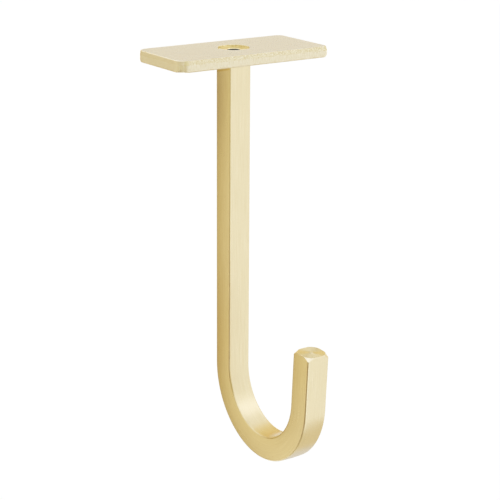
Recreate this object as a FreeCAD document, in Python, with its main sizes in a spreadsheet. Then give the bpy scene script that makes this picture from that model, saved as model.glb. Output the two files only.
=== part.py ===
"""Brass ceiling hook: a blanked mounting plate with a square bar, bent to a J, brazed under its middle.

Millimetres. The origin is the middle of the plate's upper face, which lies against the ceiling.
+Z points up into the ceiling, X runs along the plate, and the hook opens towards -Y.
"""

import FreeCAD
import Part
import Sketcher

import math
import os

# Driving sizes: name, value and what the value is.
DRIVING_SIZES = [
    ("plate_length", "67", "plate along X, at its widest"),
    ("plate_width", "32.5", "plate along Y, at its widest"),
    ("plate_thickness", "4.4", "plate along Z"),
    ("plate_corner_radius", "3", "upright corners of the plate"),
    ("break_inset", "0.5", "how far the torn upper band of the sheared edge leans in"),
    ("break_height", "1.7", "height of that torn band"),
    ("rollover_radius", "0.8", "rounding that the blanking tool leaves round the lower edge"),
    ("recess_diameter", "12.1", "shallow round recess in the upper face"),
    ("recess_depth", "0.65", "depth of that recess"),
    ("bore_diameter", "5.1", "tapped hole for the ceiling stud, at the crests of its thread"),
    ("bore_depth", "20", "tapped hole, from the upper face to the end of its straight wall"),
    ("bore_mouth", "0.25", "bevel round the mouth of the tapped hole"),
    ("drill_point_angle", "118", "point of the drilled hole, in degrees"),
    ("bar_side", "9.5", "square section of the bar"),
    ("bar_edge_radius", "0.5", "eased long edges of the bar"),
    ("stem_length", "124", "straight bar from the plate to the bend"),
    ("bend_radius", "26", "bend of the hook, at the middle of the bar"),
    ("bend_angle", "177", "turn of the bend, in degrees"),
    ("tip_length", "22.9", "straight bar after the bend"),
    ("tip_face_diameter", "10.1", "turned circle on the end of the hook"),
    ("tip_bevel_angle", "45", "turned bevel round that circle, from the bar's axis, in degrees"),
]

ORIGIN_POINT = (-1, 1)
START = 1
END = 2
CENTRE = 3
FULL_TURN = 360.0


def make_sheet(doc):
    """Puts the driving sizes in a sheet, one named cell each."""
    sheet = doc.addObject("Spreadsheet::Sheet", "Sizes")
    for row, (name, value, note) in enumerate(DRIVING_SIZES, start=1):
        sheet.set(f"A{row}", name)
        sheet.set(f"B{row}", value)
        sheet.setAlias(f"B{row}", name)
        sheet.set(f"C{row}", note)
    doc.recompute()
    return sheet


def new_body(doc, name):
    body = doc.addObject("PartDesign::Body", name)
    body.Label = name
    return body


def new_sketch(body, name, role):
    """A sketch on one of the body's own origin planes."""
    sketch = body.newObject("Sketcher::SketchObject", name)
    plane = next(feature for feature in body.Origin.OriginFeatures if feature.Role == role)
    sketch.AttachmentSupport = [(plane, "")]
    sketch.MapMode = "FlatFace"
    return sketch


def drive(sketch, name, expression, *constraint):
    """Adds a dimension that follows the sheet."""
    index = sketch.addConstraint(Sketcher.Constraint(*constraint))
    sketch.renameConstraint(index, name)
    sketch.setExpression(f"Constraints.{name}", expression)


def add_outline(sketch, points):
    """Closed outline of straight lines through the points, joined end to start."""
    vectors = [FreeCAD.Vector(x, y, 0) for x, y in points]
    count = len(vectors)
    lines = [
        sketch.addGeometry(Part.LineSegment(vectors[i], vectors[(i + 1) % count]))
        for i in range(count)
    ]
    for i in range(count):
        joined = lines[(i + 1) % count]
        sketch.addConstraint(Sketcher.Constraint("Coincident", lines[i], END, joined, START))
    return lines


def add_rounded_rectangle(sketch, size_x, size_y, radius):
    """Rounded rectangle about the sketch's origin. Each size is the name of a cell and its value."""
    half_x = size_x[1] / 2 - radius[1]
    half_y = size_y[1] / 2 - radius[1]
    corners = [(half_x, half_y), (-half_x, half_y), (-half_x, -half_y), (half_x, -half_y)]
    quarter = math.pi / 2
    upward = FreeCAD.Vector(0, 0, 1)
    arcs = []
    for i, (x, y) in enumerate(corners):
        circle = Part.Circle(FreeCAD.Vector(x, y, 0), upward, radius[1])
        arcs.append(sketch.addGeometry(Part.ArcOfCircle(circle, i * quarter, (i + 1) * quarter)))
    sides = []
    for i in range(len(corners)):
        start = sketch.getPoint(arcs[i], END)
        end = sketch.getPoint(arcs[(i + 1) % len(corners)], START)
        sides.append(sketch.addGeometry(Part.LineSegment(start, end)))
    for i in range(len(corners)):
        following = arcs[(i + 1) % len(corners)]
        sketch.addConstraint(Sketcher.Constraint("Tangent", arcs[i], END, sides[i], START))
        sketch.addConstraint(Sketcher.Constraint("Tangent", sides[i], END, following, START))
    for i in range(1, len(corners)):
        sketch.addConstraint(Sketcher.Constraint("Equal", arcs[0], arcs[i]))
    top, left, bottom, right = sides
    sketch.addConstraint(Sketcher.Constraint("Horizontal", top))
    sketch.addConstraint(Sketcher.Constraint("Vertical", left))
    sketch.addConstraint(Sketcher.Constraint("Symmetric", arcs[0], CENTRE, arcs[2], CENTRE, *ORIGIN_POINT))
    drive(sketch, "across_x", f"Sizes.{size_x[0]}", "DistanceX", left, START, right, START, size_x[1])
    drive(sketch, "across_y", f"Sizes.{size_y[0]}", "DistanceY", bottom, START, top, START, size_y[1])
    drive(sketch, "corner", f"Sizes.{radius[0]}", "Radius", arcs[0], radius[1])


def edges_at_height(shape, height, tolerance=1e-4):
    """Names of the edges that lie whole in the plane at this height."""
    return [
        f"Edge{i}"
        for i, edge in enumerate(shape.Edges, start=1)
        if abs(edge.BoundBox.ZMin - height) < tolerance and abs(edge.BoundBox.ZMax - height) < tolerance
    ]


def cut_by_turning(body, name, sketch):
    """Takes the sketch's outline, turned about the sketch's upright axis, out of the body."""
    before = body.Shape.Volume
    groove = body.newObject("PartDesign::Groove", name)
    groove.Profile = sketch
    groove.ReferenceAxis = (sketch, ["V_Axis"])
    groove.Angle = FULL_TURN
    body.Document.recompute()
    if body.Shape.Volume >= before:
        raise RuntimeError(f"{name} takes nothing away")
    return groove


def make_mounting_plate(doc, sheet):
    """Blanked plate with its sheared edge, and the recessed hole in its middle."""
    body = new_body(doc, "mounting_plate")

    outline = new_sketch(body, "plate_outline", "XY_Plane")
    add_rounded_rectangle(
        outline,
        ("plate_length", sheet.plate_length),
        ("plate_width", sheet.plate_width),
        ("plate_corner_radius", sheet.plate_corner_radius),
    )
    blank = body.newObject("PartDesign::Pad", "plate_blank")
    blank.Profile = outline
    blank.Reversed = True
    blank.setExpression("Length", "Sizes.plate_thickness")
    doc.recompute()

    # The punch pulls the lower edge round.
    rollover = body.newObject("PartDesign::Fillet", "plate_rollover")
    rollover.Base = (blank, edges_at_height(blank.Shape, -sheet.plate_thickness))
    rollover.setExpression("Radius", "Sizes.rollover_radius")
    doc.recompute()

    # The metal tears off over the upper part of the edge and leans in.
    torn_edge = body.newObject("PartDesign::Chamfer", "plate_torn_edge")
    torn_edge.Base = (rollover, edges_at_height(rollover.Shape, 0.0))
    torn_edge.ChamferType = "Two distances"
    torn_edge.FlipDirection = True
    torn_edge.setExpression("Size", "Sizes.break_inset")
    torn_edge.setExpression("Size2", "Sizes.break_height")
    doc.recompute()

    # Half section of the hole: recess, bevelled mouth and tapped wall.
    hole = new_sketch(body, "stud_hole_section", "XZ_Plane")
    recess = sheet.recess_diameter / 2
    wall = sheet.bore_diameter / 2
    floor = -sheet.recess_depth
    bevel = sheet.bore_mouth
    under = -sheet.plate_thickness
    points = [
        (0, 0),
        (recess, 0),
        (recess, floor),
        (wall + bevel, floor),
        (wall, floor - bevel),
        (wall, under),
        (0, under),
    ]
    top, side, ledge, mouth, bore, bottom, axis = add_outline(hole, points)
    hole.addConstraint(Sketcher.Constraint("Coincident", top, START, *ORIGIN_POINT))
    for flat in (top, ledge, bottom):
        hole.addConstraint(Sketcher.Constraint("Horizontal", flat))
    for upright in (side, bore, axis):
        hole.addConstraint(Sketcher.Constraint("Vertical", upright))
    drive(hole, "recess_radius", "Sizes.recess_diameter / 2", "DistanceX", top, START, top, END, recess)
    drive(hole, "recess_depth", "Sizes.recess_depth", "DistanceY", side, END, side, START, -floor)
    drive(hole, "bore_radius", "Sizes.bore_diameter / 2", "DistanceX", bottom, END, bottom, START, wall)
    drive(hole, "mouth_x", "Sizes.bore_mouth", "DistanceX", mouth, END, mouth, START, bevel)
    drive(hole, "mouth_z", "Sizes.bore_mouth", "DistanceY", mouth, END, mouth, START, bevel)
    drive(hole, "through", "Sizes.plate_thickness", "DistanceY", axis, START, axis, END, -under)
    doc.recompute()
    cut_by_turning(body, "stud_hole", hole)
    return body


def make_hook_bar(doc, sheet):
    """Square bar that runs down from the plate, round the bend and up to the turned tip."""
    body = new_body(doc, "hook_bar")
    bend = math.radians(sheet.bend_angle)
    bend_start = -sheet.plate_thickness - sheet.stem_length

    section = new_sketch(body, "bar_section", "XY_Plane")
    section.setExpression("AttachmentOffset.Base.z", "-Sizes.plate_thickness")
    add_rounded_rectangle(
        section,
        ("bar_side", sheet.bar_side),
        ("bar_side", sheet.bar_side),
        ("bar_edge_radius", sheet.bar_edge_radius),
    )

    # Middle line of the bar in the YZ plane: stem, bend and tip.
    path = new_sketch(body, "bar_path", "YZ_Plane")
    stem_top = FreeCAD.Vector(0, -sheet.plate_thickness, 0)
    stem_foot = FreeCAD.Vector(0, bend_start, 0)
    bend_centre = FreeCAD.Vector(-sheet.bend_radius, bend_start, 0)
    tip_foot = bend_centre + FreeCAD.Vector(math.cos(bend), -math.sin(bend), 0) * sheet.bend_radius
    tip_end = tip_foot + FreeCAD.Vector(-math.sin(bend), -math.cos(bend), 0) * sheet.tip_length
    circle = Part.Circle(bend_centre, FreeCAD.Vector(0, 0, 1), sheet.bend_radius)
    stem = path.addGeometry(Part.LineSegment(stem_top, stem_foot))
    arc = path.addGeometry(Part.ArcOfCircle(circle, -bend, 0))
    tip = path.addGeometry(Part.LineSegment(tip_foot, tip_end))
    path.addConstraint(Sketcher.Constraint("PointOnObject", stem, START, -2))
    path.addConstraint(Sketcher.Constraint("Vertical", stem))
    path.addConstraint(Sketcher.Constraint("Tangent", stem, END, arc, END))
    path.addConstraint(Sketcher.Constraint("Tangent", arc, START, tip, START))
    drive(path, "under_plate", "Sizes.plate_thickness", "DistanceY", stem, START, *ORIGIN_POINT, -stem_top.y)
    drive(path, "stem", "Sizes.stem_length", "DistanceY", stem, END, stem, START, sheet.stem_length)
    drive(path, "bend", "Sizes.bend_radius", "Radius", arc, sheet.bend_radius)
    drive(path, "turn", "270 - Sizes.bend_angle", "Angle", tip, 1.5 * math.pi - bend)
    drive(path, "tip", "Sizes.tip_length", "Distance", tip, sheet.tip_length)
    doc.recompute()

    bent_bar = body.newObject("PartDesign::AdditivePipe", "bent_bar")
    bent_bar.Profile = section
    bent_bar.Spine = (path, ["Edge1", "Edge2", "Edge3"])
    doc.recompute()

    # The end of the hook is turned: a cone takes off the four corners round the end circle.
    bevel = new_sketch(body, "tip_bevel_section", "YZ_Plane")
    turned = "Sizes.bend_angle * 1 deg"
    bevel.setExpression(
        "AttachmentOffset.Base.x",
        f"Sizes.bend_radius * (cos({turned}) - 1) - Sizes.tip_length * sin({turned})",
    )
    bevel.setExpression(
        "AttachmentOffset.Base.y",
        "-Sizes.plate_thickness - Sizes.stem_length"
        f" - Sizes.bend_radius * sin({turned}) - Sizes.tip_length * cos({turned})",
    )
    bevel.setExpression("AttachmentOffset.Rotation.Angle", "180 - Sizes.bend_angle")
    face = sheet.tip_face_diameter / 2
    reach = sheet.bar_side
    drop = (reach - face) / math.tan(math.radians(sheet.tip_bevel_angle))
    across, down, slope = add_outline(bevel, [(face, 0), (reach, 0), (reach, -drop)])
    bevel.addConstraint(Sketcher.Constraint("PointOnObject", across, START, -1))
    bevel.addConstraint(Sketcher.Constraint("Horizontal", across))
    bevel.addConstraint(Sketcher.Constraint("Vertical", down))
    tilt = math.radians(sheet.tip_bevel_angle)
    drive(bevel, "face_radius", "Sizes.tip_face_diameter / 2", "DistanceX", *ORIGIN_POINT, across, START, face)
    drive(bevel, "reach", "Sizes.bar_side", "DistanceX", *ORIGIN_POINT, across, END, reach)
    drive(bevel, "bevel_angle", "Sizes.tip_bevel_angle", "Angle", down, END, slope, START, tilt)
    doc.recompute()
    cut_by_turning(body, "tip_bevel", bevel)

    # Half section of the tapped hole that carries on into the bar, down to the drill's point.
    hole = new_sketch(body, "stud_bore_section", "XZ_Plane")
    wall = sheet.bore_diameter / 2
    top_z = -sheet.plate_thickness
    end_z = -sheet.bore_depth
    half_point = math.radians(sheet.drill_point_angle / 2)
    point_z = end_z - wall / math.tan(half_point)
    points = [(0, top_z), (wall, top_z), (wall, end_z), (0, point_z)]
    top, side, cone, axis = add_outline(hole, points)
    hole.addConstraint(Sketcher.Constraint("PointOnObject", top, START, -2))
    hole.addConstraint(Sketcher.Constraint("Horizontal", top))
    hole.addConstraint(Sketcher.Constraint("Vertical", side))
    hole.addConstraint(Sketcher.Constraint("Vertical", axis))
    drive(hole, "under_plate", "Sizes.plate_thickness", "DistanceY", top, START, *ORIGIN_POINT, -top_z)
    drive(hole, "bore_radius", "Sizes.bore_diameter / 2", "DistanceX", top, START, top, END, wall)
    drive(hole, "bore_end", "Sizes.bore_depth", "DistanceY", side, END, *ORIGIN_POINT, -end_z)
    drive(hole, "drill_point", "Sizes.drill_point_angle / 2", "Angle", cone, END, axis, START, half_point)
    doc.recompute()
    cut_by_turning(body, "stud_bore", hole)
    return body


def check(doc, bodies):
    """Stops if any feature failed, or if a piece isn't one sound solid."""
    for item in doc.Objects:
        if "Invalid" in item.State or "Error" in item.State:
            raise RuntimeError(f"{item.Label}: {item.State}")
    for body in bodies:
        shape = body.Shape
        if shape.isNull() or not shape.isValid() or len(shape.Solids) != 1:
            raise RuntimeError(f"{body.Label} is not one sound solid")


def main():
    doc = FreeCAD.newDocument("ceiling_hook")
    sheet = make_sheet(doc)
    bodies = [make_mounting_plate(doc, sheet), make_hook_bar(doc, sheet)]
    for body in bodies:
        body.Placement = FreeCAD.Placement()
    doc.recompute()
    check(doc, bodies)
    os.makedirs("parts", exist_ok=True)
    for body in bodies:
        body.Shape.exportStep(f"parts/{body.Label}.step")
        box = body.Shape.optimalBoundingBox(False)
        size = f"{box.XLength:.2f} x {box.YLength:.2f} x {box.ZLength:.2f} mm"
        print(f"{body.Label}: {size}, {body.Shape.Volume:.0f} cubic mm")


main()
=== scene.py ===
"""Brass ceiling hook: the finish of its plate and its bar, in a plain white studio.

Metres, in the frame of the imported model: the origin is the middle of the plate's upper face, +Z points up,
X runs along the plate, and the hook opens towards -Y.
"""

import math

import bmesh
import bpy
import numpy as np
from mathutils import Matrix, Vector, noise


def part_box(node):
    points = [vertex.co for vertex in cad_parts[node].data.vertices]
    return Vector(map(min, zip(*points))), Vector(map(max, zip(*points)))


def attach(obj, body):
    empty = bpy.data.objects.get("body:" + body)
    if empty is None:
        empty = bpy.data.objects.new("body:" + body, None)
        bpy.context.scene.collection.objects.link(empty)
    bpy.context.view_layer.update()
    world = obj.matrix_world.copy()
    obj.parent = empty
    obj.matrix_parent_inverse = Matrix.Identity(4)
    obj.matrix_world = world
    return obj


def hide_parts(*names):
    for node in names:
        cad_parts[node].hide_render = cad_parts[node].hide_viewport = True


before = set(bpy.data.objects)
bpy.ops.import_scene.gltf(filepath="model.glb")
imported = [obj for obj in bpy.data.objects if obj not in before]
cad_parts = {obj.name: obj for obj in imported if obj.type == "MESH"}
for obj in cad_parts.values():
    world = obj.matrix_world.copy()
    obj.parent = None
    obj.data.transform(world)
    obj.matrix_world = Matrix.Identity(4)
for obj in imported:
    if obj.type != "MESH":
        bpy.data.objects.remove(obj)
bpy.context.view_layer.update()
plate_low, plate_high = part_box("mounting_plate")
bar_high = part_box("hook_bar")[1]

MM = 0.001
QUARTER = math.pi / 2
FULL_TURN = 2 * math.pi
BRUSH_MAP = "brush"  # U runs along the marks that the tool left, V across them
WELD = 1e-7  # points nearer than this become one
SHARP_ANGLE = math.radians(28)
GRAIN_FALLOFF = 0.6
GRAIN_STEP = 2.0
GRAIN_OCTAVES = 4

# Plate. Its ends are the short edges at -X and +X, and its sides the long ones.
PLATE_HALF_X = plate_high.x
PLATE_HALF_Y = plate_high.y
PLATE_UNDER = plate_low.z
PLATE_CORNERS = np.array([3.3, 4.3, 4.3, 2.4]) * MM  # right back, left back, left front, right front
PLATE_POINT_SPACING = 0.3 * MM
PLATE_CORNER_STEPS = 16
TOP_EASE_END = 0.2 * MM
TOP_EASE_SIDE = 0.05 * MM
BREAK_INSET_SIDE = 0.5 * MM
BREAK_INSET_LEFT = 0.12 * MM
BREAK_INSET_RIGHT = 0.5 * MM
BREAK_HEIGHT = 1.7 * MM
BREAK_WANDER = 0.16 * MM
BREAK_GRAIN = 1.4 * MM
TORN_DEPTH = 0.045 * MM
TORN_GRAIN = 0.45 * MM
TORN_STRETCH = (1, 1, 1)
TORN_ROWS = 14
STREAK_DEPTH = 0.02 * MM
STREAK_GRAIN = 0.5 * MM
STREAK_STRETCH = (1, 1, 12)
BURNISHED_ROWS = 7
ROLLOVER_SIDE = 0.8 * MM
ROLLOVER_END = 0.35 * MM
ROLLOVER_CORNER = 0.6 * MM
ROUND_STEPS = 6
FLAT_ROWS = 8

# Shares by which the plate's edge faces the end, where its finish changes round a corner
BRIGHT_SHARE = 0.35
CORNER_FIRST = 0.9
CORNER_MIDDLE = 0.62
CORNER_LAST = 0.2

# Tapped hole
RECESS_RADIUS = 6.05 * MM
RECESS_DEPTH = 0.65 * MM
RECESS_EASE = 0.06 * MM
RECESS_FLOOR_EDGE = 4 * RECESS_EASE
RUBBED_RING = 0.2 * MM
RIM_BURR = 0.08 * MM
BORE_RADIUS = 2.55 * MM
BORE_MOUTH = 0.25 * MM
BORE_MOUTH_ROWS = 4
BORE_END = -20.0 * MM
DRILL_POINT = math.radians(118 / 2)
THREAD_PITCH = 1.27 * MM
THREAD_DEPTH = 0.6 * MM
THREAD_ROW = 0.1 * MM
THREAD_RUN_OUT = 1.5 * MM
CREST_SHARE = 0.25
ROOT_SHARE = 0.125

# Bar
BAR_HALF = bar_high.x
BAR_EDGE = 0.5 * MM
BAR_CROWN = 0.13 * MM
BAR_POINT_SPACING = 0.32 * MM
BAR_EDGE_STEPS = 6
BAR_TOP = bar_high.z
BAR_END_EASE = 0.12 * MM
BAR_END_ROWS = 3
BEND_RADIUS = 26.0 * MM
BEND_CENTRE_Z = -128.4 * MM
BEND_ANGLE = math.radians(177)
STEM_ROWS = 60
BEND_ROWS = 120
TIP_LENGTH = 22.7 * MM
TIP_ROWS = 24
TIP_FACE_RADIUS = 5.25 * MM
TIP_EASE = 0.03 * MM
TIP_KINK = 0.06 * MM
TIP_SKIRT = 2.0 * MM
TIP_SKIRT_ROWS = 8
TIP_BEVEL_ROWS = 4
TIP_RINGS = 16
TIP_PIP_RADIUS = 0.6 * MM
TIP_PIP_HEIGHT = 0.28 * MM

# Painted shade under the plate on the bar's left face, where it is full and where it has faded
PLATE_SHADE_TONE = (0.77, 0.61, 0.27)
PLATE_SHADE_FULL = BAR_TOP - 3.8 * MM
PLATE_SHADE_FADED = BAR_TOP - 4.5 * MM
PLATE_SHADE_SLOPE = 0.24

# Materials
NOISE_DETAIL = 4.0
NOISE_ROUGHNESS = 0.6
NOISE_LOW = 0.3
NOISE_HIGH = 0.7
ACROSS_MARKS = 0.25  # a quarter turn of the highlight, so that it spreads across the marks
MIX_SOCKETS = {"FLOAT": (2, 3, 0), "RGBA": (6, 7, 2)}  # numbers of a Mix node's two inputs and its output
WHITE = (1.0, 1.0, 1.0, 1.0)

# Settings that finishes of one kind share
CUT_END = {
    "roughness": (0.44, 0.52), "streak": (2 * MM, 0.4 * MM), "streak_depth": 0.006 * MM,
    "speck": 0.5 * MM, "speck_depth": 0.006 * MM, "anisotropic": 0.2, "mix": 0.5,
}
BRIGHT_CUT = {
    "streak": (4 * MM, 0.1 * MM), "streak_depth": 0.001 * MM,
    "speck": 0.5 * MM, "speck_depth": 0.001 * MM, "anisotropic": 0.3, "mix": 0.3,
}

# Camera, about the middle of the plate's upper face
CAMERA_AZIMUTH = math.radians(-34.274)
CAMERA_ELEVATION = math.radians(17.382)
CAMERA_ROLL = math.radians(0.379)
CAMERA_DISTANCE = 0.556034
CAMERA_RIGHT = 0.006256
CAMERA_DOWN = 0.077155
CAMERA_NEAR = 0.01
FOCAL_PIXELS = 1459.227
FRAME_PIXELS = 500
SENSOR_WIDTH = 36.0

# Stage
FLOOR_Z = -0.8
FLOOR_HALF = 6.0
FLOOR_TONE = (0.6, 0.6, 0.6, 1.0)
FLOOR_GLOW = 0.5
WORLD_ON_MATT = 0.85
STAGE_CENTRE = (0.0, -0.01, -0.08)
CARD_STEP = math.radians(4)

# Cards that only the metal sees: name, distance, azimuths from +X and elevations in degrees, and tone
CARDS = [
    ("card_front_gold_high", 0.45, (190, 268), (-2, 24), (0.56, 0.46, 0.19)),
    ("card_front_gold", 0.45, (190, 236), (-17, -2), (0.60, 0.50, 0.26)),
    ("card_front_soft_gold", 0.45, (236, 266), (-22, -2), (0.78, 0.70, 0.46)),
    ("card_front_gold_low", 0.45, (205, 236), (-50, -17), (0.66, 0.56, 0.30)),
    ("card_left_brown", 0.45, (157, 205), (-50, -17), (0.19, 0.07, 0.0)),
    ("card_left_tan", 0.45, (157, 190), (-17, 2), (0.70, 0.59, 0.30)),
    ("card_left_pale_high", 0.45, (123, 157), (-7, 2), (0.93, 0.81, 0.47)),
    ("card_left_pale", 0.45, (123, 157), (-21, -7), (0.95, 0.86, 0.61)),
    ("card_left_pale_mid", 0.45, (123, 157), (-29, -21), (0.95, 0.84, 0.50)),
    ("card_left_pale_low", 0.45, (123, 157), (-50, -29), (0.95, 0.87, 0.64)),
    ("card_back_left_high", 0.45, (104, 123), (-7, 2), (0.16, 0.06, 0.0)),
    ("card_back_left", 0.45, (104, 123), (-20, -7), (0.50, 0.38, 0.12)),
    ("card_back_left_low", 0.45, (104, 123), (-29, -20), (0.36, 0.20, 0.0)),
    ("card_back_left_deep", 0.45, (104, 123), (-50, -29), (0.46, 0.34, 0.12)),
    ("card_back_orange", 0.45, (70, 104), (-6, 16), (0.74, 0.48, 0.09)),
    ("card_back_amber", 0.45, (70, 104), (-50, -6), (0.48, 0.30, 0.05)),
    ("card_left_high", 0.45, (104, 150), (2, 22), (0.80, 0.72, 0.51)),
    ("card_front_left_high", 0.45, (150, 190), (2, 22), (0.72, 0.63, 0.38)),
    ("card_near_gold", 0.45, (4, 70), (4, 13), (0.83, 0.67, 0.33)),
    ("card_near_orange", 0.45, (30, 70), (-3, 4), (0.80, 0.52, 0.10)),
    ("card_back_gold", 3.0, (5, 112), (17, 31), (0.82, 0.66, 0.30)),
    ("card_back_soft_gold", 3.0, (34, 76), (31, 47), (0.92, 0.80, 0.50)),
    ("card_back_pale", 3.0, (30, 80), (-6, 17), (0.90, 0.92, 0.97)),
    ("card_low_gold", 0.6, (-50, 15), (-74, -40), (0.80, 0.71, 0.51)),
    ("card_low_grey", 0.6, (15, 70), (-74, -22), (0.80, 0.79, 0.82)),
    ("card_under_left", 0.6, (130, 300), (-84, -52), (0.62, 0.52, 0.27)),
]

# Soft lamps: name, place, the point that each faces, width and height, radiance and tint
LAMPS = [
    ("softbox_high", (0.40, -0.25, 0.39), (0.0, -0.02, -0.15), (0.60, 0.45), 0.13, (0.6, 0.7, 1.0)),
    ("softbox_core", (0.36, -0.21, 0.37), (0.0, -0.02, -0.15), (0.32, 0.30), 0.28, (0.4, 0.5, 1.0)),
    ("softbox_tip", (-0.20, -0.17, 0.23), (0.0, -0.055, -0.105), (0.12, 0.25), 0.12, (0.6, 0.7, 1.0)),
    ("strip_front", (0.0, -0.49, -0.20), (0.0, -0.02, -0.10), (0.08, 0.50), 1.2, (0.4, 0.6, 1.0)),
]


class Skin:
    """A surface made of patches. Each is a grid of points with its own brush map and finish."""

    def __init__(self):
        self.points = []
        self.faces = []
        self.marks = []
        self.finishes = []

    def add(self, points, marks, finish):
        """Adds a grid of points and the brush map at each. Its last column may meet its first.

        finish is one finish for the patch or one for each step from column to column.
        """
        rows, columns = points.shape[:2]
        finishes = [finish] * (columns - 1) if isinstance(finish, str) else finish
        start = len(self.points)
        self.points.extend(map(tuple, points.reshape(-1, 3)))
        flat_marks = marks.reshape(-1, 2)
        for i in range(rows - 1):
            for j in range(columns - 1):
                corner = i * columns + j
                quad = (corner, corner + 1, corner + columns + 1, corner + columns)
                self.faces.append([start + k for k in quad])
                self.marks.extend(flat_marks[k] for k in quad)
                self.finishes.append(finishes[j])

    def build(self, name, materials):
        """Welds the patches into one closed mesh and returns its object."""
        mesh = bpy.data.meshes.new(name)
        mesh.from_pydata(self.points, [], self.faces)
        brush = mesh.uv_layers.new(name=BRUSH_MAP)
        brush.data.foreach_set("uv", np.array(self.marks, np.float32).ravel())
        order = list(materials)
        mesh.polygons.foreach_set("material_index", [order.index(f) for f in self.finishes])
        for finish in order:
            mesh.materials.append(materials[finish])
        welded = bmesh.new()
        welded.from_mesh(mesh)
        bmesh.ops.remove_doubles(welded, verts=welded.verts, dist=WELD)
        bmesh.ops.recalc_face_normals(welded, faces=welded.faces)
        welded.to_mesh(mesh)
        welded.free()
        mesh.polygons.foreach_set("use_smooth", [True] * len(mesh.polygons))
        mesh.set_sharp_from_angle(angle=SHARP_ANGLE)
        piece = bpy.data.objects.new(name, mesh)
        bpy.context.scene.collection.objects.link(piece)
        return piece


def rounded_outline(half_x, half_y, radii, spacing, corner_steps):
    """A rectangle with rounded corners, anticlockwise from the corner at +X and +Y.

    It comes as inner points, the way out from each and the rounding there. The outline is
    base + out * rounding.
    """
    signs = [(1, 1), (-1, 1), (-1, -1), (1, -1)]
    corners = [((half_x - r) * x, (half_y - r) * y) for (x, y), r in zip(signs, radii)]
    base = []
    out = []
    rounding = []
    for i, corner in enumerate(corners):
        after = (i + 1) % len(corners)
        for k in range(corner_steps + 1):
            turn = (i + k / corner_steps) * QUARTER
            base.append(corner)
            out.append((math.cos(turn), math.sin(turn)))
            rounding.append(radii[i])
        steps = round(math.dist(corner, corners[after]) / spacing)
        for k in range(1, steps):
            share = k / steps
            base.append([a + (b - a) * share for a, b in zip(corner, corners[after])])
            out.append(out[-1])
            rounding.append(radii[i] + (radii[after] - radii[i]) * share)
    return np.array(base), np.array(out), np.array(rounding)[:, None]


def closed(rows):
    """Repeats the first column of a grid after its last one."""
    return np.concatenate([rows, rows[:, :1]], axis=1)


def at_height(loop, height):
    """A flat loop of points at one height, or at a height for each point."""
    return np.column_stack([loop, np.broadcast_to(height, len(loop))])


def run_length(loop):
    """How far along a closed loop each of its points lies, with the whole length last."""
    steps = np.linalg.norm(np.roll(loop, -1, axis=0) - loop, axis=1)
    return np.concatenate([[0.0], np.cumsum(steps)])


def marks_of(u, v):
    """Brush map of a grid from its U and V values, each for a row, for a column or for every point."""
    return np.stack(np.broadcast_arrays(u, v), axis=-1).astype(float)


def turned_marks(loops, angles):
    """Brush map of a turned surface: the marks run round its axis."""
    reach = np.linalg.norm(loops[:, :, :2], axis=2)
    steps = np.linalg.norm(np.diff(loops[:, 0], axis=0), axis=1)
    along = np.concatenate([[0.0], np.cumsum(steps)])
    return marks_of(angles[None, :] * reach.mean(), along[:, None])


def blend_loops(first, last, rows):
    """Loops that pass evenly from the first to the last."""
    shares = np.linspace(0.0, 1.0, rows)[:, None, None]
    return first + (last - first) * shares


def grain(point, size, stretch=(1, 1, 1)):
    """Smooth noise from about -1 to 1 with features of this size, drawn out along an axis by its stretch."""
    place = Vector([x / (size * s) for x, s in zip(point, stretch)])
    return noise.fractal(place, GRAIN_FALLOFF, GRAIN_STEP, GRAIN_OCTAVES)


def swell(share):
    """Rises from 0 at a band's first row to 1 in its middle, and falls to 0 at its last row."""
    return math.sin(math.pi * share) ** 0.5 if 0.0 < share < 1.0 else 0.0


def thread_radius(angles, heights):
    """Radius of the tapped wall: a right-handed thread cut outwards from the bore."""
    turn = (heights / THREAD_PITCH - angles / FULL_TURN) % 1.0
    flank = (1.0 - CREST_SHARE - ROOT_SHARE) / 2
    away = np.abs(turn - 0.5)
    return BORE_RADIUS + THREAD_DEPTH * np.clip((away - CREST_SHARE / 2) / flank, 0.0, 1.0)


def tapped_wall(angles, top, bottom, start, end):
    """Loops of the tapped wall from top to bottom. The thread fades in below start and out above end."""
    rows = max(2, round((top - bottom) / THREAD_ROW) + 1)
    heights = np.linspace(top, bottom, rows)[:, None]
    radius = thread_radius(angles[None, :], heights)
    fade_in = np.clip((start - heights) / THREAD_RUN_OUT, 0.0, 1.0)
    fade_out = np.clip((heights - end) / THREAD_RUN_OUT, 0.0, 1.0)
    radius = BORE_RADIUS + (radius - BORE_RADIUS) * (fade_in * fade_out)
    height = np.broadcast_to(heights, radius.shape)
    return np.stack([radius * np.cos(angles), radius * np.sin(angles), height], axis=-1)


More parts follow.
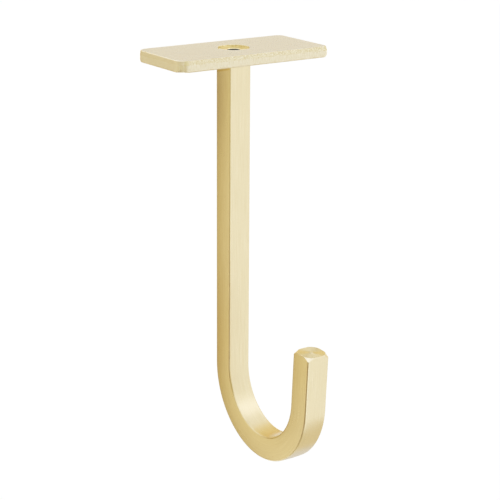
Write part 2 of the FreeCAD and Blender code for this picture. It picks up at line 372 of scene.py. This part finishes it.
def make_plate(materials):
    """Blanked plate: flat faces, torn and burnished edge, and the recessed hole."""
    skin = Skin()
    base, out, rounding = rounded_outline(
        PLATE_HALF_X, PLATE_HALF_Y, PLATE_CORNERS, PLATE_POINT_SPACING, PLATE_CORNER_STEPS
    )

    def outline(inset):
        """The plate's outline, drawn in by one inset or by one for each point."""
        return base + out * (rounding - np.reshape(inset, (-1, 1)))

    angles = np.unwrap(np.arctan2(outline(0)[:, 1], outline(0)[:, 0]))
    ring_angles = np.append(angles, angles[0] + FULL_TURN)
    ring = np.column_stack([np.cos(angles), np.sin(angles)])
    length = run_length(outline(0))
    way_out = np.column_stack([out, np.zeros(len(out))])

    # Sizes and finishes of the edge, which pass from its sides to its ends round the corners.
    end_share = out[:, 0] ** 2
    side_share = out[:, 1] ** 2
    ease = TOP_EASE_SIDE * side_share + TOP_EASE_END * end_share
    end_inset = np.where(out[:, 0] < 0, BREAK_INSET_LEFT, BREAK_INSET_RIGHT)
    break_inset = BREAK_INSET_SIDE * side_share + end_inset * end_share
    lean = break_inset / BREAK_HEIGHT
    corner_share = 4 * side_share * end_share
    rollover = ROLLOVER_SIDE * side_share + ROLLOVER_END * end_share + ROLLOVER_CORNER * corner_share
    faces_end = np.abs(out[:, 0])
    top_finish = np.where(faces_end > BRIGHT_SHARE, "bright", "satin")
    upper_finish = np.select(
        [faces_end > CORNER_MIDDLE, faces_end > CORNER_LAST], ["sheared", "corner"], "torn"
    )
    lower_finish = np.select(
        [faces_end > CORNER_FIRST, faces_end > CORNER_MIDDLE, faces_end > CORNER_LAST],
        ["rubbed", "worn", "sheared"], "burnished",
    )

    def rough_band(first, last, rows, depth, size, stretch, weight):
        """Closed loops of the edge between two heights, dented by noise of this depth, size and stretch."""
        loops = []
        for share in np.linspace(0.0, 1.0, rows):
            heights = first + (last - first) * share
            inset = np.clip(break_inset + heights * lean, 0.0, None)
            loop = at_height(outline(inset), heights)
            dents = np.array([-abs(grain(p, size, stretch)) for p in loop]) * weight
            loops.append(loop + way_out * (depth * swell(share) * dents)[:, None])
        return closed(np.array(loops))

    # Upper face, from the burr round the recess to the small bevel at the edge.
    rim_radius = RECESS_RADIUS + RECESS_EASE
    rim = at_height(ring * rim_radius, RIM_BURR)
    crest = at_height(ring * (rim_radius + RUBBED_RING / 2), RIM_BURR)
    rubbed = at_height(ring * (rim_radius + RUBBED_RING), 0.0)
    edge = at_height(outline(break_inset + ease), 0.0)
    rubbed_ring = closed(np.array([rim, crest, rubbed]))
    skin.add(rubbed_ring, turned_marks(rubbed_ring, ring_angles), "bright")
    top = closed(blend_loops(rubbed, edge, FLAT_ROWS))
    skin.add(top, top[:, :, :2], "satin")
    eased = closed(np.array([edge, at_height(outline(break_inset - ease * lean), -ease)]))
    skin.add(eased, marks_of(length[None, :], eased[:, :, 2]), top_finish)

    # Torn band, down to a line that wanders, and burnished band with fine upright streaks.
    wander = np.array([grain((x, y, 0), BREAK_GRAIN) for x, y in outline(0)])
    line = -BREAK_HEIGHT + BREAK_WANDER * wander
    torn = rough_band(-ease, line, TORN_ROWS, TORN_DEPTH, TORN_GRAIN, TORN_STRETCH, side_share)
    skin.add(torn, marks_of(length[None, :], torn[:, :, 2]), upper_finish)
    foot = PLATE_UNDER + rollover
    burnished = rough_band(line, foot, BURNISHED_ROWS, STREAK_DEPTH, STREAK_GRAIN, STREAK_STRETCH, 1.0)
    skin.add(burnished, marks_of(burnished[:, :, 2], length[None, :]), lower_finish)

    # Rollover, and the underside as far as the tapped hole.
    rolled = []
    for k in range(ROUND_STEPS + 1):
        turn = QUARTER * k / ROUND_STEPS
        height = foot - rollover * math.sin(turn)
        rolled.append(at_height(outline(rollover * (1 - math.cos(turn))), height))
    rolled = closed(np.array(rolled))
    skin.add(rolled, marks_of(length[None, :], rolled[:, :, 2]), lower_finish)
    floor = -RECESS_DEPTH
    wall_top = floor - BORE_MOUTH
    wall = tapped_wall(ring_angles, wall_top, PLATE_UNDER, wall_top, BORE_END)
    under = closed(blend_loops(rolled[-1, :-1], wall[-1, :-1], FLAT_ROWS))
    skin.add(under, under[:, :, :2], "satin")

    # Recess, bevelled mouth and tapped wall.
    section = [
        (rim_radius, RIM_BURR),
        (RECESS_RADIUS, -RECESS_EASE),
        (RECESS_RADIUS, (floor - RECESS_EASE) / 2),
        (RECESS_RADIUS, floor + RECESS_EASE),
        (RECESS_RADIUS - RECESS_EASE, floor),
        (RECESS_RADIUS - RECESS_FLOOR_EDGE, floor),
        ((RECESS_RADIUS + BORE_RADIUS) / 2, floor),
        (BORE_RADIUS + BORE_MOUTH, floor),
    ]
    recess = closed(np.array([at_height(ring * radius, height) for radius, height in section]))
    skin.add(recess, turned_marks(recess, ring_angles), "drilled")
    mouth = closed(blend_loops(recess[-1, :-1], wall[0, :-1], BORE_MOUTH_ROWS))
    skin.add(mouth, turned_marks(mouth, ring_angles), "mouth")
    skin.add(wall, turned_marks(wall, ring_angles), "tapped")
    return skin.build("mounting_plate_finished", materials)


def bar_path():
    """Stations of the bar's middle line in the YZ plane: place, way out from the bend, and length so far."""
    places = []
    outs = []
    stem_length = BAR_TOP - BAR_END_EASE - BEND_CENTRE_Z
    for share in np.linspace(0.0, 1.0, STEM_ROWS, endpoint=False):
        places.append((0.0, BAR_TOP - BAR_END_EASE - stem_length * share))
        outs.append((1.0, 0.0))
    for turn in np.linspace(0.0, BEND_ANGLE, BEND_ROWS, endpoint=False):
        way = (math.cos(turn), -math.sin(turn))
        places.append((BEND_RADIUS * (way[0] - 1), BEND_CENTRE_Z + BEND_RADIUS * way[1]))
        outs.append(way)
    way = (math.cos(BEND_ANGLE), -math.sin(BEND_ANGLE))
    foot = np.array((BEND_RADIUS * (way[0] - 1), BEND_CENTRE_Z + BEND_RADIUS * way[1]))
    onward = np.array((way[1], -way[0]))
    for share in np.linspace(0.0, 1.0, TIP_ROWS):
        places.append(tuple(foot + onward * (TIP_LENGTH - TIP_SKIRT) * share))
        outs.append(way)
    places = np.array(places)
    steps = np.linalg.norm(np.diff(places, axis=0), axis=1)
    return places, np.array(outs), np.concatenate([[0.0], np.cumsum(steps)])


def across_bar(section, place, out):
    """The bar's section, as x and distance outwards, set at a place in the YZ plane."""
    yz = np.asarray(place) + section[:, 1:2] * np.asarray(out)
    return np.column_stack([section[:, 0], yz])


def make_bar(materials):
    """Square bar bent to a J, with its turned tip and the tapped hole in its upper end."""
    skin = Skin()
    base, out, rounding = rounded_outline(
        BAR_HALF, BAR_HALF, [BAR_EDGE] * 4, BAR_POINT_SPACING, BAR_EDGE_STEPS
    )
    section = base + out * rounding
    girth = run_length(section)
    section = section * (1 + BAR_CROWN / BAR_HALF * (1 - (section[:, ::-1] / BAR_HALF) ** 2))
    angles = np.unwrap(np.arctan2(section[:, 1], section[:, 0]))
    ring_angles = np.append(angles, angles[0] + FULL_TURN)
    reach = np.linalg.norm(section, axis=1)

    # Long faces.
    places, outs, lengths = bar_path()
    long_rows = closed(np.array([across_bar(section, p, o) for p, o in zip(places, outs)]))
    skin.add(long_rows, marks_of(lengths[:, None], girth[None, :]), "brushed")

    # The tip's flat face reaches out to the turned circle or to the bar's own faces, whichever is nearer:
    # inner is a soft minimum of the two. The bevel falls from there to the bar's faces, furthest at the
    # corners.
    tip_out = outs[-1]
    onward = np.array((tip_out[1], -tip_out[0]))
    end = places[-1] + onward * TIP_SKIRT
    inner = -TIP_KINK * np.logaddexp((TIP_EASE - reach) / TIP_KINK, -TIP_FACE_RADIUS / TIP_KINK)
    drop = reach - inner

    def tip_ring(radius, depth):
        """The bar's section at its end, with each point drawn in to its radius and set back by its depth."""
        flat = section * (radius / reach)[:, None]
        setback = np.column_stack([np.zeros(len(flat)), depth[:, None] * onward])
        return across_bar(flat, end, tip_out) - setback

    skirt_shares = np.linspace(0.0, 1.0, TIP_SKIRT_ROWS)
    skirt = [tip_ring(reach, TIP_SKIRT + (drop - TIP_SKIRT) * share) for share in skirt_shares]
    skirt_lengths = lengths[-1] + np.linspace(0.0, TIP_SKIRT, TIP_SKIRT_ROWS)
    skin.add(closed(np.array(skirt)), marks_of(skirt_lengths[:, None], girth[None, :]), "brushed")
    face_edge = tip_ring(inner, np.zeros_like(drop))
    bevel = closed(blend_loops(tip_ring(reach, drop), face_edge, TIP_BEVEL_ROWS))
    bevel_v = np.linspace(0.0, 1.0, TIP_BEVEL_ROWS)[:, None] * MM
    skin.add(bevel, marks_of(ring_angles[None, :] * TIP_FACE_RADIUS, bevel_v), "bevelled")

    # Turned face of the tip, with the pip that the tool left in its middle.
    ring_shares = np.linspace(1.0, 0.0, TIP_RINGS)
    rings = []
    for share in ring_shares:
        radius = inner * share
        pip = TIP_PIP_HEIGHT * np.exp(-((radius / TIP_PIP_RADIUS) ** 2))
        rings.append(tip_ring(radius, -pip))
    ring_reach = ring_shares[:, None] * np.append(inner, inner[0])[None, :]
    ring_marks = marks_of(ring_angles[None, :] * TIP_FACE_RADIUS / 2, ring_reach)
    skin.add(closed(np.array(rings)), ring_marks, "turned")

    # Upper end: eased edge, flat face, tapped wall and drill point.
    wall = tapped_wall(ring_angles, BAR_TOP, BORE_END, 0.0, BORE_END + THREAD_RUN_OUT)
    end_edge = at_height(base + out * (rounding - BAR_END_EASE), BAR_TOP)
    eased = closed(blend_loops(long_rows[0, :-1], end_edge, BAR_END_ROWS))
    skin.add(eased, marks_of(girth[None, :], eased[:, :, 2]), "brushed")
    face = closed(blend_loops(eased[-1, :-1], wall[0, :-1], FLAT_ROWS))
    skin.add(face, face[:, :, :2], "brushed")
    skin.add(wall, turned_marks(wall, ring_angles), "tapped")
    point = np.zeros_like(wall[-1, :-1]) + (0.0, 0.0, BORE_END - BORE_RADIUS / math.tan(DRILL_POINT))
    drilled = closed(blend_loops(wall[-1, :-1], point, FLAT_ROWS))
    skin.add(drilled, turned_marks(drilled, ring_angles), "tapped")
    return skin.build("hook_bar_finished", materials)


class Nodes:
    """A node tree that is filled one node at a time."""

    def __init__(self, tree):
        self.tree = tree
        tree.nodes.clear()

    def add(self, kind, settings=None, **inputs):
        """A node with its settings, and each input given a value or another node's output."""
        node = self.tree.nodes.new(kind)
        for name, value in (settings or {}).items():
            setattr(node, name, value)
        for name, value in inputs.items():
            self.put(node, name.replace("_", " "), value)
        return node

    def put(self, node, key, value):
        """Gives an input, by its name or number, a value or another node's output."""
        socket = node.inputs[key]
        if isinstance(value, bpy.types.NodeSocket):
            self.tree.links.new(value, socket)
        else:
            socket.default_value = value

    def pair(self, kind, operation, first, second):
        """A Math or Vector Math node with two inputs."""
        node = self.add(kind, {"operation": operation})
        self.put(node, 0, first)
        self.put(node, 1, second)
        return node

    def math(self, operation, first, second):
        """The output of a Math node."""
        return self.pair("ShaderNodeMath", operation, first, second).outputs[0]

    def mix(self, kind, factor, first, second):
        """The output of a Mix node for two numbers or two colours."""
        first_key, second_key, output_key = MIX_SOCKETS[kind]
        node = self.add("ShaderNodeMix", {"data_type": kind}, Factor=factor)
        self.put(node, first_key, first)
        self.put(node, second_key, second)
        return node.outputs[output_key]


def paint_plate_shade(nodes, solid, clean):
    """Lays painted shade from the plate over a colour, on the bar's left face. It reaches lower towards the
    back.
    """
    axes = nodes.add("ShaderNodeSeparateXYZ", Vector=solid)
    height = nodes.pair("ShaderNodeVectorMath", "DOT_PRODUCT", solid, (0.0, PLATE_SHADE_SLOPE, 1.0))
    shaded = nodes.add(
        "ShaderNodeMapRange", {"interpolation_type": "SMOOTHSTEP"},
        Value=height.outputs["Value"], From_Min=PLATE_SHADE_FADED, From_Max=PLATE_SHADE_FULL,
    )
    on_left = nodes.math("LESS_THAN", axes.outputs["X"], -BAR_HALF)
    share = nodes.math("MULTIPLY", shaded.outputs[0], on_left)
    return nodes.mix("RGBA", share, clean, (*PLATE_SHADE_TONE, 1.0))


def brass(
    name, pale, deep, roughness, streak, streak_depth, speck, speck_depth, anisotropic, mix, plate_shaded=False
):
    """Brass with marks drawn out along the brush map and specks of its own.

    pale and deep are its two tones, and roughness goes with them. streak is the length and width of a mark,
    speck the size of a speck, and mix how much of the tone the specks decide.
    """
    material = bpy.data.materials.new(name)
    material.use_nodes = True
    nodes = Nodes(material.node_tree)
    brush = nodes.add("ShaderNodeUVMap", {"uv_map": BRUSH_MAP})
    place = nodes.add(
        "ShaderNodeMapping", Vector=brush.outputs["UV"], Scale=(1 / streak[0], 1 / streak[1], 1.0)
    )
    streaks = nodes.add(
        "ShaderNodeTexNoise", {"noise_dimensions": "2D"},
        Vector=place.outputs["Vector"], Scale=1.0, Detail=NOISE_DETAIL, Roughness=NOISE_ROUGHNESS,
    )
    solid = nodes.add("ShaderNodeTexCoord").outputs["Object"]
    specks = nodes.add(
        "ShaderNodeTexNoise", {"noise_dimensions": "3D"},
        Vector=solid, Scale=1 / speck, Detail=NOISE_DETAIL, Roughness=NOISE_ROUGHNESS,
    )
    tone = nodes.mix("FLOAT", mix, streaks.outputs["Fac"], specks.outputs["Fac"])
    share = nodes.add("ShaderNodeMapRange", Value=tone, From_Min=NOISE_LOW, From_Max=NOISE_HIGH)
    colour = nodes.mix("RGBA", share.outputs[0], (*deep, 1.0), (*pale, 1.0))
    # painted shade under the plate, on the bar's left face
    if plate_shaded:
        colour = paint_plate_shade(nodes, solid, colour)
    rough = nodes.add(
        "ShaderNodeMapRange", Value=share.outputs[0], To_Min=roughness[1], To_Max=roughness[0]
    )
    speck_bump = nodes.add(
        "ShaderNodeBump", Strength=1.0, Distance=speck_depth, Height=specks.outputs["Fac"]
    )
    bump = nodes.add(
        "ShaderNodeBump", Strength=1.0, Distance=streak_depth,
        Height=streaks.outputs["Fac"], Normal=speck_bump.outputs["Normal"],
    )
    tangent = nodes.add("ShaderNodeTangent", {"direction_type": "UV_MAP", "uv_map": BRUSH_MAP})
    surface = nodes.add(
        "ShaderNodeBsdfPrincipled", Metallic=1.0, Anisotropic=anisotropic, Anisotropic_Rotation=ACROSS_MARKS,
        Base_Color=colour, Roughness=rough.outputs[0],
        Normal=bump.outputs["Normal"], Tangent=tangent.outputs["Tangent"],
    )
    nodes.add("ShaderNodeOutputMaterial", Surface=surface.outputs["BSDF"])
    return material


def make_finishes():
    """The finishes of the plate and of the bar, by the names that their patches use."""
    # The tapped walls' near-black tone is painted shade deep in the holes
    tapped = brass(
        "tapped_painted_shade_brass", (0.05, 0.03, 0.008), (0.025, 0.014, 0.004), roughness=(0.4, 0.5),
        streak=(5 * MM, 0.2 * MM), streak_depth=0.004 * MM, speck=0.6 * MM, speck_depth=0.004 * MM,
        anisotropic=0.3, mix=0.4,
    )
    plate = {
        "satin": brass(
            "plate_satin", (0.83, 0.785, 0.66), (0.80, 0.745, 0.61), roughness=(0.26, 0.31),
            streak=(9 * MM, 0.4 * MM), streak_depth=0.002 * MM, speck=0.5 * MM, speck_depth=0.004 * MM,
            anisotropic=0.2, mix=0.5,
        ),
        "torn": brass(
            "plate_torn_edge", (0.97, 0.94, 0.82), (0.68, 0.57, 0.26), roughness=(0.5, 0.62),
            streak=(0.8 * MM, 0.5 * MM), streak_depth=0.01 * MM, speck=0.45 * MM, speck_depth=0.03 * MM,
            anisotropic=0.0, mix=0.7,
        ),
        "burnished": brass(
            "plate_burnished_edge", (0.93, 0.88, 0.73), (0.78, 0.70, 0.48), roughness=(0.44, 0.52),
            streak=(3 * MM, 0.3 * MM), streak_depth=0.012 * MM, speck=0.6 * MM, speck_depth=0.006 * MM,
            anisotropic=0.4, mix=0.25,
        ),
        "sheared": brass("plate_sheared_end", (0.92, 0.87, 0.71), (0.84, 0.78, 0.59), **CUT_END),
        "rubbed": brass("plate_rubbed_end", (0.96, 0.93, 0.83), (0.90, 0.87, 0.745), **CUT_END),
        "corner": brass("plate_corner_edge", (0.84, 0.775, 0.51), (0.765, 0.695, 0.425), **CUT_END),
        "worn": brass("plate_worn_corner", (1.0, 1.0, 0.93), (0.98, 0.965, 0.84), **CUT_END),
        "drilled": brass(
            "drilled_brass", (0.98, 0.92, 0.66), (0.73, 0.585, 0.22), roughness=(0.3, 0.4),
            streak=(0.8 * MM, 0.3 * MM), streak_depth=0.006 * MM, speck=0.9 * MM, speck_depth=0.02 * MM,
            anisotropic=0.3, mix=0.8,
        ),
        "bright": brass(
            "bright_cut_brass", (0.96, 0.94, 0.86), (0.93, 0.89, 0.76), roughness=(0.16, 0.22), **BRIGHT_CUT
        ),
        "mouth": brass(
            "hole_mouth_brass", (0.97, 0.90, 0.62), (0.93, 0.84, 0.52), roughness=(0.2, 0.26), **BRIGHT_CUT
        ),
        "tapped": tapped,
    }
    bar = {
        "brushed": brass(
            "bar_brushed", (0.88, 0.795, 0.565), (0.81, 0.715, 0.465), roughness=(0.27, 0.34),
            streak=(16 * MM, 0.22 * MM), streak_depth=0.008 * MM, speck=0.8 * MM, speck_depth=0.001 * MM,
            # with painted shade under the plate on the bar's left face
            anisotropic=0.5, mix=0.15, plate_shaded=True,
        ),
        "turned": brass(
            "turned_brass", (0.90, 0.84, 0.64), (0.84, 0.77, 0.54), roughness=(0.32, 0.40),
            streak=(6 * MM, 0.12 * MM), streak_depth=0.003 * MM, speck=0.5 * MM, speck_depth=0.001 * MM,
            anisotropic=0.95, mix=0.2,
        ),
        "bevelled": brass(
            "bevelled_brass", (0.93, 0.88, 0.73), (0.90, 0.83, 0.64), roughness=(0.2, 0.26), **BRIGHT_CUT
        ),
        "tapped": tapped,
    }
    return plate, bar


def light_path_white(nodes):
    """1 for the rays that see the background: from the camera, from metal and through glass."""
    path = nodes.add("ShaderNodeLightPath").outputs
    seen = nodes.math("MAXIMUM", path["Is Camera Ray"], path["Is Glossy Ray"])
    return nodes.math("MAXIMUM", seen, path["Is Transmission Ray"])


def make_world():
    """White all round, and a little dimmer as light on matt surfaces."""
    world = bpy.data.worlds.new("studio")
    world.use_nodes = True
    nodes = Nodes(world.node_tree)
    strength = nodes.add(
        "ShaderNodeMapRange", Value=light_path_white(nodes), To_Min=WORLD_ON_MATT, To_Max=1.0
    )
    background = nodes.add("ShaderNodeBackground", Color=WHITE, Strength=strength.outputs[0])
    nodes.add("ShaderNodeOutputWorld", Surface=background.outputs[0])
    bpy.context.scene.world = world


def stage_sheet(name, points, faces):
    """A sheet of the stage."""
    mesh = bpy.data.meshes.new(name)
    mesh.from_pydata(points, [], faces)
    sheet = bpy.data.objects.new(name, mesh)
    bpy.context.scene.collection.objects.link(sheet)
    return sheet


def make_floor():
    """Pale floor that looks white and still takes the hook's shadow."""
    h = FLOOR_HALF
    corners = [(-h, -h, FLOOR_Z), (h, -h, FLOOR_Z), (h, h, FLOOR_Z), (-h, h, FLOOR_Z)]
    floor = stage_sheet("floor", corners, [(0, 1, 2, 3)])
    material = bpy.data.materials.new("floor_white")
    material.use_nodes = True
    nodes = Nodes(material.node_tree)
    matt = nodes.add("ShaderNodeBsdfDiffuse", Color=FLOOR_TONE)
    lift = nodes.math("MULTIPLY", light_path_white(nodes), FLOOR_GLOW)
    glow = nodes.add("ShaderNodeEmission", Color=WHITE, Strength=lift)
    both = nodes.add("ShaderNodeAddShader")
    nodes.put(both, 0, matt.outputs[0])
    nodes.put(both, 1, glow.outputs[0])
    nodes.add("ShaderNodeOutputMaterial", Surface=both.outputs[0])
    floor.data.materials.append(material)


def make_lamp(name, place, target, size, radiance, tint):
    """Soft area lamp that faces the target."""
    lamp = bpy.data.lights.new(name, "AREA")
    lamp.color = tint
    lamp.shape = "RECTANGLE"
    lamp.size, lamp.size_y = size
    lamp.energy = radiance * math.pi * size[0] * size[1]
    holder = bpy.data.objects.new(name, lamp)
    holder.location = place
    holder.rotation_euler = (Vector(target) - Vector(place)).to_track_quat("-Z", "Y").to_euler()
    bpy.context.scene.collection.objects.link(holder)


def make_card(name, distance, azimuths, elevations, tone):
    """A curved card round the hook that shows in its metal and nowhere else."""
    columns = math.ceil(math.radians(azimuths[1] - azimuths[0]) / CARD_STEP) + 1
    rows = math.ceil(math.radians(elevations[1] - elevations[0]) / CARD_STEP) + 1
    points = []
    for elevation in np.radians(np.linspace(*elevations, rows)):
        for azimuth in np.radians(np.linspace(*azimuths, columns)):
            way = Vector((
                math.cos(azimuth) * math.cos(elevation),
                math.sin(azimuth) * math.cos(elevation),
                math.sin(elevation),
            ))
            points.append(Vector(STAGE_CENTRE) + way * distance)
    faces = [
        (i * columns + j, i * columns + j + 1, (i + 1) * columns + j + 1, (i + 1) * columns + j)
        for i in range(rows - 1)
        for j in range(columns - 1)
    ]
    card = stage_sheet(name, points, faces)
    card.visible_camera = False
    card.visible_diffuse = False
    card.visible_shadow = False
    material = bpy.data.materials.new(name)
    material.use_nodes = True
    nodes = Nodes(material.node_tree)
    glow = nodes.add("ShaderNodeEmission", Color=(*tone, 1.0), Strength=1.0)
    nodes.add("ShaderNodeOutputMaterial", Surface=glow.outputs[0])
    card.data.materials.append(material)


def make_camera():
    """Camera at the photograph's place, with its frame of 500 by 500."""
    a, e, r = CAMERA_AZIMUTH, CAMERA_ELEVATION, CAMERA_ROLL
    back = Vector((math.sin(a) * math.cos(e), -math.cos(a) * math.cos(e), math.sin(e)))
    level = Vector((math.cos(a), math.sin(a), 0.0))
    upright = back.cross(level)
    right = level * math.cos(r) + upright * math.sin(r)
    up = upright * math.cos(r) - level * math.sin(r)
    place = back * CAMERA_DISTANCE + right * CAMERA_RIGHT - up * CAMERA_DOWN
    lens = bpy.data.cameras.new("camera")
    lens.sensor_width = SENSOR_WIDTH
    lens.lens = FOCAL_PIXELS * SENSOR_WIDTH / FRAME_PIXELS
    lens.clip_start = CAMERA_NEAR
    camera = bpy.data.objects.new("camera", lens)
    camera.matrix_world = Matrix(
        [[right[i], up[i], back[i], place[i]] for i in range(3)] + [[0.0, 0.0, 0.0, 1.0]]
    )
    bpy.context.scene.collection.objects.link(camera)
    bpy.context.scene.camera = camera


plate_finishes, bar_finishes = make_finishes()
plate = make_plate(plate_finishes)
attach(plate, "root")
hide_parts("mounting_plate")
bar = make_bar(bar_finishes)
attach(bar, "root")
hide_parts("hook_bar")

make_world()
make_floor()
for card in CARDS:
    make_card(*card)
for lamp in LAMPS:
    make_lamp(*lamp)
make_camera()
bpy.context.scene.view_settings.view_transform = "Standard"
